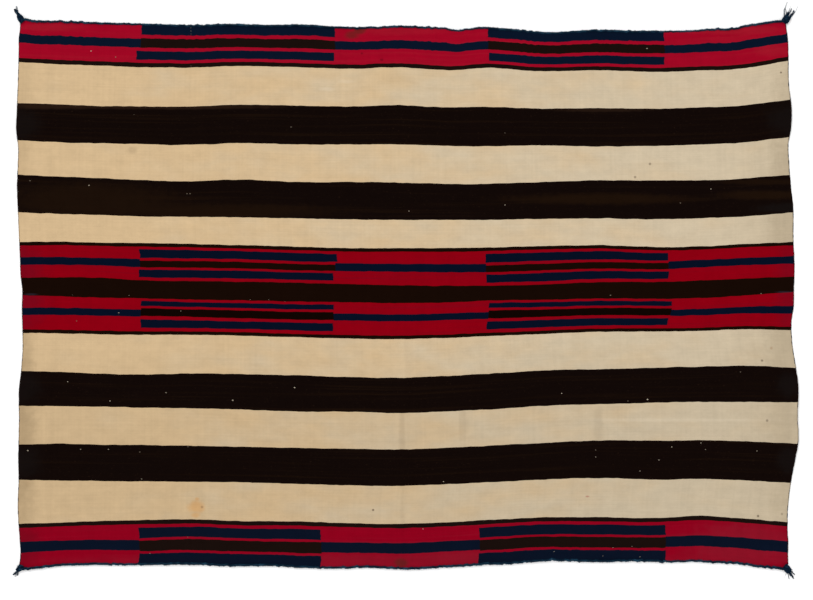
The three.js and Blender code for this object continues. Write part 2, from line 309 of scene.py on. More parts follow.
# The middle of the loom comes to where the frame has the cloth
box_low, box_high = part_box("woven_cloth")
own_x = [vert.co.x for vert in cloth_bm.verts]
own_y = [vert.co.y for vert in cloth_bm.verts]
LOOM_MIDDLE = Vector((
    (box_low.x + box_high.x) * 500 - (min(own_x) + max(own_x)) / 2,
    (box_low.y + box_high.y) * 500 - (min(own_y) + max(own_y)) / 2,
    0,
))
TO_FRAME = Matrix.Scale(0.001, 4) @ Matrix.Translation(LOOM_MIDDLE)
bmesh.ops.transform(cloth_bm, matrix=TO_FRAME, verts=cloth_bm.verts[:])
for face in cloth_bm.faces:
    face.smooth = True
cloth_mesh = bpy.data.meshes.new("tapestry_cloth")
cloth_bm.to_mesh(cloth_mesh)
cloth_surface = BVHTree.FromBMesh(cloth_bm)
cloth_bm.free()
cloth = bpy.data.objects.new("tapestry_cloth", cloth_mesh)
bpy.context.scene.collection.objects.link(cloth)

# The yarns' colours as they look in the light of this scene
LIGHT = 1.2
WOOLS = {
    "cream": (208, 191, 163),
    "warm_cream": (213, 184, 143),
    "grey_cream": (182, 165, 138),
    "dun_cream": (176, 151, 116),
    "black": (17, 9, 7),
    "ash_black": (21, 16, 15),
    "umber": (22, 10, 5),
    "ash_umber": (25, 15, 12),
    "dark_umber": (16, 6, 3),
    "walnut": (40, 26, 18),
    "brown": (29, 17, 9),
    "blue": (10, 21, 39),
    "deep_blue": (7, 16, 34),
    "dull_blue": (11, 19, 35),
    "red": (157, 8, 35),
    "deep_red": (139, 1, 18),
    "dull_red": (140, 3, 28),
    "faded_red": (160, 24, 41),
    "worn_red": (137, 20, 38),
    "brick_red": (118, 9, 27),
    "blue_grey": (44, 38, 48),
    "amber": (207, 154, 92),
    "rust": (150, 95, 50),
    # This dark brown colours the stains and the darkened weft round the side cords, and it is also the
    # painted shade along the middle fold
    "soot": (60, 38, 26),
    "bleached": (222, 206, 180),
}

# The stripes that run right across the cream ground: the wool, and the height on the loom of
# its lower and upper edge
STRIPES = (
    ("wool", "low", "high"),
    ("red", 541.5, 640.0),
    ("blue", 575.7, 594.9),
    ("ash_umber", 533.4, 543.0),
    ("black", 355.0, 444.0),
    ("black", 183.3, 269.4),
    ("umber", 111.8, 120.1),
    ("deep_red", 34.0, 112.0),
    ("deep_blue", 65.6, 84.4),
    ("umber", -6.3, 34.2),
    ("deep_red", -81.0, -6.3),
    ("deep_blue", -49.0, -32.8),
    ("umber", -88.4, -80.4),
    ("black", -259.0, -178.0),
    ("black", -432.7, -346.4),
    ("ash_umber", -534.0, -523.8),
    ("dull_red", -640.0, -533.5),
    ("dull_blue", -592.0, -567.8),
)

# The short bars of the two blocks in each red band, laid over those: a bar's wool, its lower
# and upper edge, and the ends of the left and of the right bar
BARS = (
    ("wool", "low", "high", "left_from", "left_to", "right_from", "right_to"),
    ("red", 543.0, 640.0, -614, -160, 198.5, 611),
    ("blue", 603.5, 640.0, -614, -160, 198.5, 612),
    ("ash_umber", 575.6, 595.9, -614, -160, 198.5, 611),
    ("blue", 549.7, 568.3, -624, -162.5, 199.5, 609.5),
    ("deep_red", 34.2, 111.8, -621, -167, 183, 607),
    ("deep_blue", 86.9, 106.0, -621, -162, 183, 607),
    ("umber", 65.3, 80.8, -621, -167, 183, 607),
    ("deep_blue", 41.5, 60.0, -623.5, -172, 183, 607),
    ("deep_red", -80.4, -6.3, -623, -173, 188.5, 614),
    ("deep_blue", -24.0, -12.0, -623, -173, 188.5, 614),
    ("dark_umber", -47.6, -29.6, -623, -173, 188.5, 614),
    ("deep_blue", -72.8, -54.8, -623, -173, 186, 609.5),
    ("dull_red", -640.0, -534.0, -620, -194, 177, 612.5),
    ("dull_blue", -564.0, -540.7, -620, -194, 177, 612.5),
    ("ash_umber", -594.2, -569.2, -620, -194, 177, 612.5),
    ("dull_blue", -640.0, -599.9, -620, -194, 174.5, 612.5),
)

# Stains, streaks, odd dye lots, and painted shade along the old fold down the middle: the wool that
# each one is in, its middle and its reach in the photograph's pixels, the colour it turns the wool
# to, and how strongly. A pixel's size is in millimetres, and the frame's origin is at pixel PHOTO_X,
# PHOTO_Y.
PIXEL = 2.3346
PHOTO_X = 404.75
PHOTO_Y = 290.1
MARKS = (
    ("wool", "photo_x", "photo_y", "reach_x", "reach_y", "tint", "strength"),
    ("any", 360, 30.5, 8, 4.5, "soot", 0.55),
    ("any", 352, 35, 9, 5, "soot", 0.5),
    ("any", 31, 294.3, 9, 1.3, "blue_grey", 0.6),
    ("any", 784, 292, 10, 1.3, "blue_grey", 0.6),
    ("any", 401, 563, 9, 6, "soot", 0.5),
    ("cream", 196.4, 507, 10, 8, "amber", 0.6),
    ("cream", 195.5, 515.5, 5.5, 3, "amber", 0.5),
    ("cream", 197, 499, 2.5, 2, "amber", 0.5),
    ("cream", 202, 507, 1.6, 1.6, "soot", 0.35),
    ("cream", 26.5, 483, 5, 3.5, "rust", 0.22),
    ("cream", 132, 150, 7, 4.5, "soot", 0.17),
    ("cream", 373, 510, 1.5, 1.5, "soot", 0.7),
    ("cream", 762, 360.5, 1.6, 1.6, "soot", 0.7),
    ("cream", 767, 420.5, 1.6, 1.6, "soot", 0.7),
    ("cream", 758, 516, 1.5, 1.5, "soot", 0.7),
    ("cream", 782, 514, 1.5, 1.5, "soot", 0.6),
    ("cream", 650, 164, 1.6, 1.6, "soot", 0.5),
    ("cream", 635, 177, 1.6, 1.6, "soot", 0.5),
    ("cream", 587.4, 496.5, 2.6, 1.1, "red", 0.45),
    ("cream", 771.5, 348, 1.8, 1.8, "rust", 0.6),
    # Painted shade: two soft dark streaks along the old fold down the middle, standing for the crease's
    # shade
    ("cream", 402, 440, 4.5, 60, "soot", 0.14),
    ("cream", 402, 515, 4, 20, "soot", 0.05),
    ("cream", 14, 440, 28, 130, "dun_cream", 0.9),
    ("cream", 16, 350, 22, 60, "dun_cream", 0.4),
    ("cream", 14, 120, 22, 150, "dun_cream", 0.3),
    ("cream", 784, 300, 20, 300, "grey_cream", 0.7),
    ("cream", 790, 300, 70, 300, "grey_cream", 0.25),
    ("cream", 781, 72.4, 1.3, 1.3, "soot", 0.7),
    ("cream", 327, 89, 10, 2.4, "bleached", 0.25),
    ("cream", 346, 81.5, 10, 2.4, "bleached", 0.25),
    ("cream", 598, 425, 6, 24, "soot", 0.09),
    ("cream", 463, 425, 6, 24, "soot", 0.09),
    ("cream", 680, 420, 110, 2.5, "bleached", 0.25),
    ("black", 50, 106, 60, 4.2, "walnut", 0.85),
    ("black", 175, 107, 125, 3.0, "walnut", 0.8),
    ("black", 600, 110, 60, 2.5, "walnut", 0.7),
    ("black", 90, 200, 110, 22, "brown", 0.8),
    ("black", 230, 211, 130, 9, "brown", 0.8),
    ("black", 600, 199, 120, 7, "brown", 1.0),
    ("black", 765, 195, 60, 6, "brown", 1.0),
    ("black", 765, 182, 60, 3.5, "brown", 0.8),
    ("black", 20, 124, 26, 20, "ash_black", 0.7),
    ("black", 20, 388, 26, 20, "ash_black", 0.7),
    ("black", 20, 462, 26, 20, "ash_black", 0.7),
    ("black", 788, 208, 40, 6, "ash_black", 0.9),
    ("black", 790, 120, 30, 20, "ash_black", 0.8),
    ("black", 788, 385, 14, 16, "ash_black", 0.8),
    ("black", 788, 460, 14, 16, "ash_black", 0.8),
    ("red", 50, 27, 40, 5, "faded_red", 0.7),
    ("red", 735, 30, 60, 6, "faded_red", 0.7),
    ("red", 772, 50, 22, 8, "faded_red", 0.6),
    ("red", 400, 31, 60, 5, "faded_red", 0.5),
    ("red", 230, 28, 90, 4, "faded_red", 0.5),
    ("red", 381.7, 59.7, 2.2, 1.6, "brick_red", 0.8),
    ("red", 361.7, 53.3, 1.6, 1.4, "brick_red", 0.7),
    ("deep_red", 16, 290, 38, 60, "brick_red", 0.75),
    ("deep_red", 792, 290, 22, 60, "brick_red", 0.6),
    ("dull_red", 400, 561, 430, 9, "worn_red", 0.65),
    ("dull_red", 745, 545, 75, 30, "worn_red", 0.85),
    ("dull_red", 20, 545, 26, 30, "brick_red", 0.8),
    ("dull_red", 465, 557, 45, 8, "worn_red", 0.7),
)

# The ragged outline of a mark: the size of its wobbles in metres, how far they move it as a share
# of its reach, and where in its reach the tint starts to fade and is gone
WOBBLE_SIZE = 0.016
WOBBLE = 0.6
FADE_START = 0.35
FADE_END = 1.1


def photo_place(x, y):
    """A pixel of the photograph as a place on the floor, in metres"""
    return Vector(((x - PHOTO_X) * PIXEL / 1000, (PHOTO_Y - y) * PIXEL / 1000, 0))


def wool_colour(name):
    """A yarn's own colour, linear, from how it looks in the light"""
    seen = [value / 255 for value in WOOLS[name]]
    linear = [v / 12.92 if v <= 0.04045 else ((v + 0.055) / 1.055) ** 2.4 for v in seen]
    return (*(v / LIGHT for v in linear), 1.0)


class Shader:
    """A new material, with short ways to add nodes to it and join them"""

    def __init__(self, name):
        self.material = bpy.data.materials.new(name)
        self.material.use_nodes = True
        self.tree = self.material.node_tree
        self.tree.nodes.clear()

    def add(self, kind, inputs, **settings):
        node = self.tree.nodes.new(kind)
        for key, value in settings.items():
            setattr(node, key, value)
        for key, value in inputs.items():
            if isinstance(value, bpy.types.NodeSocket):
                self.tree.links.new(value, node.inputs[key])
            else:
                node.inputs[key].default_value = value
        return node

    def math(self, operation, *values):
        return self.add("ShaderNodeMath", dict(enumerate(values)), operation=operation).outputs[0]

    def vector(self, operation, *values):
        return self.add("ShaderNodeVectorMath", dict(enumerate(values)), operation=operation)

    def blend(self, amount, first, second, how="MIX"):
        inputs = {0: amount, 6: first, 7: second}
        return self.add("ShaderNodeMix", inputs, data_type="RGBA", blend_type=how).outputs[2]

    def noise(self, place, lumps, detail=2.0):
        """Noise about 0.5 whose lumps have those sizes"""
        scaled = self.vector("DIVIDE", place, lumps).outputs[0]
        inputs = {"Vector": scaled, "Scale": 1.0, "Detail": detail}
        return self.add("ShaderNodeTexNoise", inputs)

    def shaded(self, colour, share):
        """A colour made darker or lighter by a share of itself"""
        grey = self.add("ShaderNodeCombineColor", {0: share, 1: share, 2: share}).outputs[0]
        return self.blend(1.0, colour, grey, "MULTIPLY")

    def within(self, value, low, high):
        """1 where a value lies between two others, and 0 elsewhere"""
        return self.math("COMPARE", value, (low + high) / 2, (high - low) / 2)

    def soft(self, value, start, end, low=0.0, high=1.0):
        """A value turned from one range to another, with its ends eased"""
        inputs = {"Value": value, "From Min": start, "From Max": end, "To Min": low, "To Max": high}
        return self.add("ShaderNodeMapRange", inputs, interpolation_type="SMOOTHSTEP").outputs[0]

    def relief(self, height, depth, strength):
        """The bump of a height from 0 to 1, with its depth in metres"""
        inputs = {"Height": height, "Distance": depth, "Strength": strength}
        return self.add("ShaderNodeBump", inputs).outputs[0]

    def finish(self, colour, roughness, bump=None):
        inputs = {"Base Color": colour, "Roughness": roughness, "Specular IOR Level": 0.0}
        surface = self.add("ShaderNodeBsdfPrincipled", inputs)
        if bump:
            self.tree.links.new(bump, surface.inputs["Normal"])
        output = self.tree.nodes.new("ShaderNodeOutputMaterial")
        self.tree.links.new(surface.outputs[0], output.inputs["Surface"])
        return self.material


def stained_and_shaded(shader, colour, wool):
    """A wool's colour with all the marks that are in that wool: stains and dye lots, and painted shade along
    the middle fold
    """
    place = shader.add("ShaderNodeTexCoord", {}).outputs["Object"]
    wobble = shader.noise(place, (WOBBLE_SIZE, WOBBLE_SIZE, WOBBLE_SIZE), detail=3).outputs[1]
    for mark in rows_of(MARKS):
        if mark["wool"] != wool:
            continue
        middle = photo_place(mark["photo_x"], mark["photo_y"])
        reach = (mark["reach_x"] * PIXEL / 1000, mark["reach_y"] * PIXEL / 1000, 1)
        away = shader.vector("DIVIDE", shader.vector("SUBTRACT", place, middle).outputs[0], reach)
        moved = shader.vector("MULTIPLY_ADD", wobble, (WOBBLE, WOBBLE, 0), away.outputs[0]).outputs[0]
        centred = shader.vector("SUBTRACT", moved, (WOBBLE / 2, WOBBLE / 2, 0)).outputs[0]
        distance = shader.vector("LENGTH", centred).outputs["Value"]
        amount = shader.soft(distance, FADE_START, FADE_END, low=mark["strength"], high=0.0)
        colour = shader.blend(amount, colour, wool_colour(mark["tint"]))
    return colour


# The wools that were dyed in uneven batches: the wool that each one's streaks turn to, where in
# the noise of the batches they begin, and how strong they are. The cream is warmer to the left.
BATCHES = (
    ("wool", "streak", "start", "strength"),
    ("black", "brown", 0.5, 0.8),
    ("red", "faded_red", 0.45, 0.6),
    ("dull_red", "worn_red", 0.45, 0.6),
    ("deep_red", "brick_red", 0.5, 0.5),
)
BATCH_LUMPS = (420, 5, 5)
BATCH_END = 0.8
WARMER_LEFT = 0.9


def cream_ground(shader, loom):
    """The cream wool, in warm patches that grow towards the left, and a little darker below"""
    parts = shader.add("ShaderNodeSeparateXYZ", {0: loom})
    patches = shader.noise(loom, (130, 60, 60), detail=3).outputs[0]
    side = shader.math("MULTIPLY_ADD", parts.outputs[0], WARMER_LEFT / CLOTH_WIDTH, patches)
    cooler = shader.soft(side, start=0.1, end=0.95)
    cream = shader.blend(cooler, wool_colour("warm_cream"), wool_colour("cream"))
    return shader.shaded(cream, shader.soft(parts.outputs[1], start=0, end=-350, low=1.0, high=0.9))


def wool_grounds(shader, loom):
    """The wools that aren't one even colour, with their marks"""
    grounds = {"cream": cream_ground(shader, loom)}
    batches = shader.noise(loom, BATCH_LUMPS, detail=3).outputs[0]
    for batch in rows_of(BATCHES):
        streaks = shader.soft(batches, batch["start"], BATCH_END, high=batch["strength"])
        plain, streak = wool_colour(batch["wool"]), wool_colour(batch["streak"])
        grounds[batch["wool"]] = shader.blend(streaks, plain, streak)
    specks = shader.soft(shader.noise(loom, (4.5, 2.6, 3)).outputs[0], start=0.62, end=0.8, high=0.8)
    grounds["black"] = shader.blend(specks, grounds["black"], wool_colour("walnut"))
    return {wool: stained_and_shaded(shader, colour, wool) for wool, colour in grounds.items()}


# How far the edges of the stripes and bars wander, and the size of the wandering's lumps
WANDER = (6.0, 3.2, 0)
WANDER_LUMPS = (24, 9, 9)


def woven_wool(shader):
    """The cloth's colour at any place of the loom, with all its stripes and bars"""
    loom = shader.add("ShaderNodeAttribute", {}, attribute_name="loom").outputs["Vector"]
    grounds = wool_grounds(shader, loom)
    wander = shader.noise(loom, WANDER_LUMPS, detail=3).outputs[1]
    moved = shader.vector("SUBTRACT", wander, (0.5, 0.5, 0.5)).outputs[0]
    uneven = shader.vector("MULTIPLY_ADD", moved, WANDER, loom).outputs[0]
    parts = shader.add("ShaderNodeSeparateXYZ", {0: uneven})
    x, y = parts.outputs[0], parts.outputs[1]
    colour = grounds["cream"]
    for stripe in rows_of(STRIPES):
        here = shader.within(y, stripe["low"], stripe["high"])
        wool = grounds.get(stripe["wool"]) or wool_colour(stripe["wool"])
        colour = shader.blend(here, colour, wool)
    for bar in rows_of(BARS):
        left = shader.within(x, bar["left_from"], bar["left_to"])
        right = shader.within(x, bar["right_from"], bar["right_to"])
        ends = shader.math("MAXIMUM", left, right)
        here = shader.math("MULTIPLY", ends, shader.within(y, bar["low"], bar["high"]))
        wool = grounds.get(bar["wool"]) or wool_colour(bar["wool"])
        colour = shader.blend(here, colour, wool)
    return loom, stained_and_shaded(shader, colour, "any")


# Faint shades over all the wools: each warp shows as an upright streak, each pick of weft took
# the dye a little differently, and the wool is blotched and mottled
SHADES = (
    ("what", "lumps", "detail", "strength"),
    ("warp", (5, 260, 5), 3, 0.1),
    ("weft", (220, 2.2, 5), 3, 0.14),
    ("blotches", (38, 26, 26), 3, 0.2),
    ("mottle", (9, 5, 5), 4, 0.11),
)

# The relief of the weave: from one warp to the next, from one pick of weft to the next, how far
# the mottled wool stands up beside them, how full the beads are, the share of their height that
# the grooves between the picks take, and the depth of it all in metres
WARP_STEP = 3.4
PICK_STEP = 0.9
WOOLLINESS = 1.2
BEAD_FULLNESS = 0.5
GROOVES = 0.5
WEAVE_DEPTH = 0.0003


def weave_relief(shader, loom, mottle):
    """Weft-faced weave: a pick shows as beads over every other warp, the next over those between"""
    parts = shader.add("ShaderNodeSeparateXYZ", {0: loom})
    picks = shader.math("DIVIDE", parts.outputs[1], PICK_STEP)
    half = shader.math("MULTIPLY", shader.math("MODULO", shader.math("FLOOR", picks), 2), math.pi / 2)
    across = shader.math("MULTIPLY_ADD", parts.outputs[0], math.pi / 2 / WARP_STEP, half)
    beads = shader.math("POWER", shader.math("ABSOLUTE", shader.math("SINE", across)), BEAD_FULLNESS)
    yarns = shader.math("ABSOLUTE", shader.math("SINE", shader.math("MULTIPLY", picks, math.pi)))
    height = shader.math("MULTIPLY", beads, shader.math("MULTIPLY_ADD", yarns, GROOVES, 1 - GROOVES))
    height = shader.math("ADD", height, shader.math("MULTIPLY", mottle, WOOLLINESS))
    return shader.relief(height, WEAVE_DEPTH, strength=0.5)


def tapestry_material():
    shader = Shader("banded_tapestry_wool")
    loom, colour = woven_wool(shader)
    share = 1.0
    lumps = {}
    for shade in rows_of(SHADES):
        lumps[shade["what"]] = shader.noise(loom, shade["lumps"], shade["detail"]).outputs[0]
        least = shader.math("SUBTRACT", share, shade["strength"] / 2)
        share = shader.math("MULTIPLY_ADD", lumps[shade["what"]], shade["strength"], least)
    relief = weave_relief(shader, loom, lumps["mottle"])
    return shader.finish(shader.shaded(colour, share), roughness=0.95, bump=relief)


cloth_mesh.materials.append(tapestry_material())
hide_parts("woven_cloth")
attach(cloth, "root")

# The edge cords: two plies of indigo wool twined along each edge as the cloth was woven, thick
# along the ends, where they hold the turns of the warp, and thin along the sides.
# The bite is how far a cord reaches in over the cloth, which lies at its middle or on the floor.
CORDS = (
    ("node", "radius", "bite", "pitch", "from_x", "from_y", "to_x", "to_y"),
    ("end_cord_top", 2.9, 2.5, 11.0, -1, 1, 1, 1),
    ("side_cord_right", 1.3, 0.9, 6.5, 1, 1, 1, -1),
    ("end_cord_bottom", 3.2, 2.7, 11.0, 1, -1, -1, -1),
    ("side_cord_left", 1.3, 0.9, 6.5, -1, -1, -1, 1),
)

# A cord's steps in each turn of its plies, how many steps either way its direction is taken over,
# and the radius of a ply for the cord's thickness
STEPS_A_TURN = 10
STEPS_EITHER_WAY = 4
PLY_RADIUS = 0.28

# How much fuller a cord is at its ends, within its reach of them, and how uneven all along
CORNER_REACH = 75
CORNER_FULLNESS = 0.2
UNEVENNESS = 0.1
UNEVEN_STEPS = 13

# How far the weft that goes round a side cord is darkened
WEFT_SHADE = 0.45

WOOLS["end_cord"] = (13, 34, 50)
WOOLS["worn_end_cord"] = (34, 70, 92)


def loom_route(cord):
    """The places of a cord along the loom's rectangle"""
    start = Vector((cord["from_x"] * CLOTH_WIDTH / 2, cord["from_y"] * CLOTH_LENGTH / 2, 0))
    end = Vector((cord["to_x"] * CLOTH_WIDTH / 2, cord["to_y"] * CLOTH_LENGTH / 2, 0))
    steps = round((end - start).length / cord["pitch"] * STEPS_A_TURN)
    return [start.lerp(end, k / steps) for k in range(steps + 1)]


def edge_route(cord, places, thicknesses):
    """The points of a cord's middle, just outside the edge, with the cloth on its right hand"""
    steps = len(places) - 1
    edge = [cloth_point(place.x, place.y) for place in places]
    route = []
    for k, point in enumerate(edge):
        along = edge[min(k + STEPS_EITHER_WAY, steps)] - edge[max(k - STEPS_EITHER_WAY, 0)]
        outward = Vector((-along.y, along.x, 0)).normalized() * (cord["radius"] - cord["bite"])
        height = max(cord["radius"], thicknesses[k] / 2, point.z + CLOTH_THICKNESS / 2)
        route.append(Vector((point.x, point.y, height)) + outward)
    return route


def twisted(route, thicknesses, pitch, plies=2):
    """The plies of a yarn along a route, each a list of points and radii"""
    yarns = [[] for _ in range(plies)]
    gone = 0.0
    for k, point in enumerate(route):
        along = (route[min(k + 1, len(route) - 1)] - route[max(k - 1, 0)]).normalized()
        side = along.cross(Vector((0, 0, 1))).normalized()
        rise = side.cross(along)
        if k:
            gone += (point - route[k - 1]).length
        for ply, yarn in enumerate(yarns):
            turn = math.tau * (gone / pitch + ply / plies)
            out = thicknesses[k] * (0.5 - PLY_RADIUS)
            centre = point + (side * math.cos(turn) + rise * math.sin(turn)) * out
            yarn.append((centre, thicknesses[k] * PLY_RADIUS))
    return yarns


def yarn_mesh(name, yarns):
    """A mesh of closed tubes, one along each list of points and radii"""
    curve = bpy.data.curves.new(name, "CURVE")
    curve.dimensions = "3D"
    curve.bevel_depth = 0.001
    curve.bevel_resolution = 1
    for yarn in yarns:
        spline = curve.splines.new("POLY")
        spline.points.add(len(yarn) - 1)
        for knot, (point, radius) in zip(spline.points, yarn):
            knot.co = (*(TO_FRAME @ point), 1)
            knot.radius = radius
    route = bpy.data.objects.new(name, curve)
    mesh = bpy.data.meshes.new_from_object(route)
    mesh.name = name
    bpy.data.objects.remove(route)
    bpy.data.curves.remove(curve)
    tubes = bmesh.new()
    tubes.from_mesh(mesh)
    bmesh.ops.holes_fill(tubes, edges=[edge for edge in tubes.edges if edge.is_boundary])
    bmesh.ops.recalc_face_normals(tubes, faces=tubes.faces[:])
    tubes.to_mesh(mesh)
    tubes.free()
    mesh.shade_smooth()
    return mesh


def patched(shader, wool, other, size, fade, detail):
    """A yarn's colour, with patches of a size in metres, which fade in over a span of their noise"""
    place = shader.add("ShaderNodeTexCoord", {}).outputs["Object"]
    patches = shader.noise(place, (size, size, size), detail).outputs[0]
    return shader.blend(shader.soft(patches, *fade), wool_colour(wool), wool_colour(other))


def fibres(shader, size, depth, strength):
    """The relief of a yarn's fibres, with their size and depth in metres"""
    place = shader.add("ShaderNodeTexCoord", {}).outputs["Object"]
    height = shader.noise(place, (size, size, size)).outputs[0]
    return shader.relief(height, depth, strength)


def end_cord_material():
    shader = Shader("end_cord_wool")
    colour = patched(shader, "end_cord", "worn_end_cord", size=0.012, fade=(0.4, 0.75), detail=4)
    relief = fibres(shader, size=0.0006, depth=0.0002, strength=0.4)
    return shader.finish(colour, roughness=0.92, bump=relief)


def side_cord_material():
    """The thin cord shows between the turns of the weft, which go round it and hide most of it"""
    shader = Shader("side_cord_wool")
    loom, cloth_colour = woven_wool(shader)
    weft = shader.blend(WEFT_SHADE, cloth_colour, wool_colour("soot"))
    dashes = shader.soft(shader.noise(loom, (40, 7, 40)).outputs[0], start=0.52, end=0.6)
    return shader.finish(shader.blend(dashes, weft, wool_colour("deep_blue")), roughness=0.92)


def set_along(mesh, name, kind, values):
    """An attribute of a mesh of tubes, from one value for each point of its yarns"""
    ring = len(mesh.vertices) // len(values)
    for vertex, item in enumerate(mesh.attributes.new(name, kind, "POINT").data):
        value = values[vertex // ring]
        if kind == "FLOAT":
            item.value = value
        else:
            item.vector = value


end_cord_wool = end_cord_material()
side_cord_wool = side_cord_material()
for cord in rows_of(CORDS):
    places = loom_route(cord)
    from_ends = [min((place - places[0]).length, (place - places[-1]).length) for place in places]
    fuller = [1 + CORNER_FULLNESS * max(1 - reach / CORNER_REACH, 0) for reach in from_ends]
    uneven = [1 + UNEVENNESS * ripple(k / UNEVEN_STEPS, 0, 8) for k in range(len(places))]
    thicknesses = [2 * cord["radius"] * full * wide for full, wide in zip(fuller, uneven)]
    plies = twisted(edge_route(cord, places, thicknesses), thicknesses, cord["pitch"])
    mesh = yarn_mesh("twined_" + cord["node"], plies)
    set_along(mesh, "loom", "FLOAT_VECTOR", places * len(plies))
    mesh.materials.append(end_cord_wool if cord["node"].startswith("end") else side_cord_wool)
    twined = bpy.data.objects.new(mesh.name, mesh)
    bpy.context.scene.collection.objects.link(twined)
    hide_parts(cord["node"])
    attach(twined, "root")

# The corner tassels: the ends of two cords knotted together over the cloth's corner in a lump of
# the same yarn, and their loose ends, which lie on the floor and have frayed to grey fibres.
TASSELS = (
    ("node", "side", "end", "heading", "back", "ahead", "half_width", "narrowing"),
    ("tassel_top_left", -1, 1, 123, 9, 12, 7.8, 0.6),
    ("tassel_top_right", 1, 1, 54, 6, 13, 9.0, 0.2),
    ("tassel_bottom_right", 1, -1, -48, 11, 8, 8.6, 0.25),
    ("tassel_bottom_left", -1, -1, -128, 11, 3.5, 7.0, 0.2),
)

# A loose end turns off its tassel's heading by degrees, and bends aside at its tip. A loop goes
# out at one turn and back in at another, and a wisp is one frayed bundle of fibres.
STRANDS = (
    ("node", "turn", "length", "thickness", "bend"),
    ("tassel_top_left", 12, 28, 2.8, -14),
    ("tassel_top_left", 2, 23, 2.6, -6),
    ("tassel_top_right", -50, 22.5, 3.8, 23),
    ("tassel_top_right", -30, 20, 3.4, 8),
    ("tassel_top_right", 4, 33, 3.2, 2),
    ("tassel_top_right", 14, 22, 3.4, 0),
    ("tassel_top_right", 22, 22, 3.2, -2),
    ("tassel_top_right", 6, 21, 3.4, 1),
    ("tassel_top_right", 32, 20, 2.6, -3),
    ("tassel_bottom_right", -8, 25.5, 4.6, 0),
    ("tassel_bottom_right", -5, 22, 4.4, 0),
    ("tassel_bottom_right", 13, 21, 3.2, 0),
    ("tassel_bottom_right", -16, 18, 3.4, 0),
    ("tassel_bottom_right", 22, 14, 2.4, 0),
    ("tassel_bottom_right", -32, 23, 1.8, 0),
    ("tassel_bottom_left", -6, 20, 4.4, -1),
    ("tassel_bottom_left", -3, 17, 3.0, 1),
    ("tassel_bottom_left", 20, 16, 3.2, 1),
)
LOOPS = (
    ("node", "out_turn", "back_turn", "length", "thickness"),
    ("tassel_top_left", 8, -7, 27.5, 3.0),
    ("tassel_top_left", 8, 2, 24.5, 3.0),
    ("tassel_top_right", -4, -18, 31, 1.6),
    ("tassel_top_right", 48, 24, 29, 1.0),
)
WISPS = (
    ("node", "turn", "length", "thickness", "bend"),
    ("tassel_top_left", 4, 33, 1.2, -10),
    ("tassel_top_left", 9, 31, 1.2, -10),
    ("tassel_top_right", 54, 41, 1.6, -19),
    ("tassel_top_right", 46, 42, 1.3, -14),
    ("tassel_top_right", 15, 38, 1.2, 0),
    ("tassel_top_right", -44, 36, 1.6, 29),
    ("tassel_top_right", 10, 31, 1.2, 2),
    ("tassel_bottom_right", -34, 25, 1.2, 2),
    ("tassel_bottom_right", -8, 29, 1.4, 0),
    ("tassel_bottom_right", 42, 13, 1.6, 0),
    ("tassel_bottom_right", -53, 22, 0.9, -3),
    ("tassel_bottom_right", 10, 23, 1.2, 0),
    ("tassel_bottom_left", 12, 21, 1.8, 1),
    ("tassel_bottom_left", 4, 22, 1.6, 2),
    ("tassel_bottom_left", -122, 10, 1.6, 2),
)

# The steps along each, how fast it comes down to the floor, a strand's turns, how full a loop's
# bow is, and the thickness that strands and wisps lose by the tip
STRAND_STEPS = 72
STRAND_DROP = 1.8
STRAND_PITCH = 4.2
STRAND_TAPER = 0.3
LOOP_STEPS = 60
LOOP_DROP = 2.5
LOOP_BOW = 0.6
WISP_STEPS = 24
WISP_ROOT = 0.5
WISP_TAPER = 0.35
WORN_STEPS = 16

# The knot: the height of it all, the yarn it is wound from, and its two layers of turns, how far
# each one's turns lean and where along the knot they start and stop
KNOT_HEIGHT = 7.6
KNOT_YARN = 2.8
KNOT_PITCH = 4.6
KNOT_LAYERS = (
    ("lean", "start", "stop"),
    (3.0, 0.1, 0.96),
    (-2.4, 0.22, 0.8),
)

# The steps in a turn, how close the turns lie, how far round they lean, where the knot is widest,
# how much narrower it is at its root, how flat it is, and the straight yarns of its core
TURN_STEPS = 72
CLOSENESS = 1.15
LEAN_TURN = 0.7
BELLY = 0.35
ROOT_NARROWING = 0.45
FLATNESS = 1.1
CORE_SIDES = (-0.6, -0.2, 0.2, 0.6)
CORE_STEPS = 20
CORE_YARN = 0.62
CORE_NARROWING = 0.4

WOOLS["tassel"] = (13, 28, 45)
WOOLS["faded_tassel"] = (34, 64, 86)
WOOLS["broken_fibre"] = (132, 138, 142)


def own_rows(table, tassel):
    """The rows of a table that belong to one tassel"""
    return [row for row in rows_of(table) if row["node"] == tassel["node"]]


def tassel_place(tassel):
    """A function that takes a place beside, along and above a tassel's axis to the cloth's"""
    corner = cloth_point(tassel["side"] * CLOTH_WIDTH / 2, tassel["end"] * CLOTH_LENGTH / 2)
    heading = math.radians(tassel["heading"])
    along = Vector((math.cos(heading), math.sin(heading), 0))
    beside = Vector((along.y, -along.x, 0))
    start = Vector((corner.x, corner.y, 0))
    return lambda x, y, z: start + beside * x + along * y + Vector((0, 0, z))


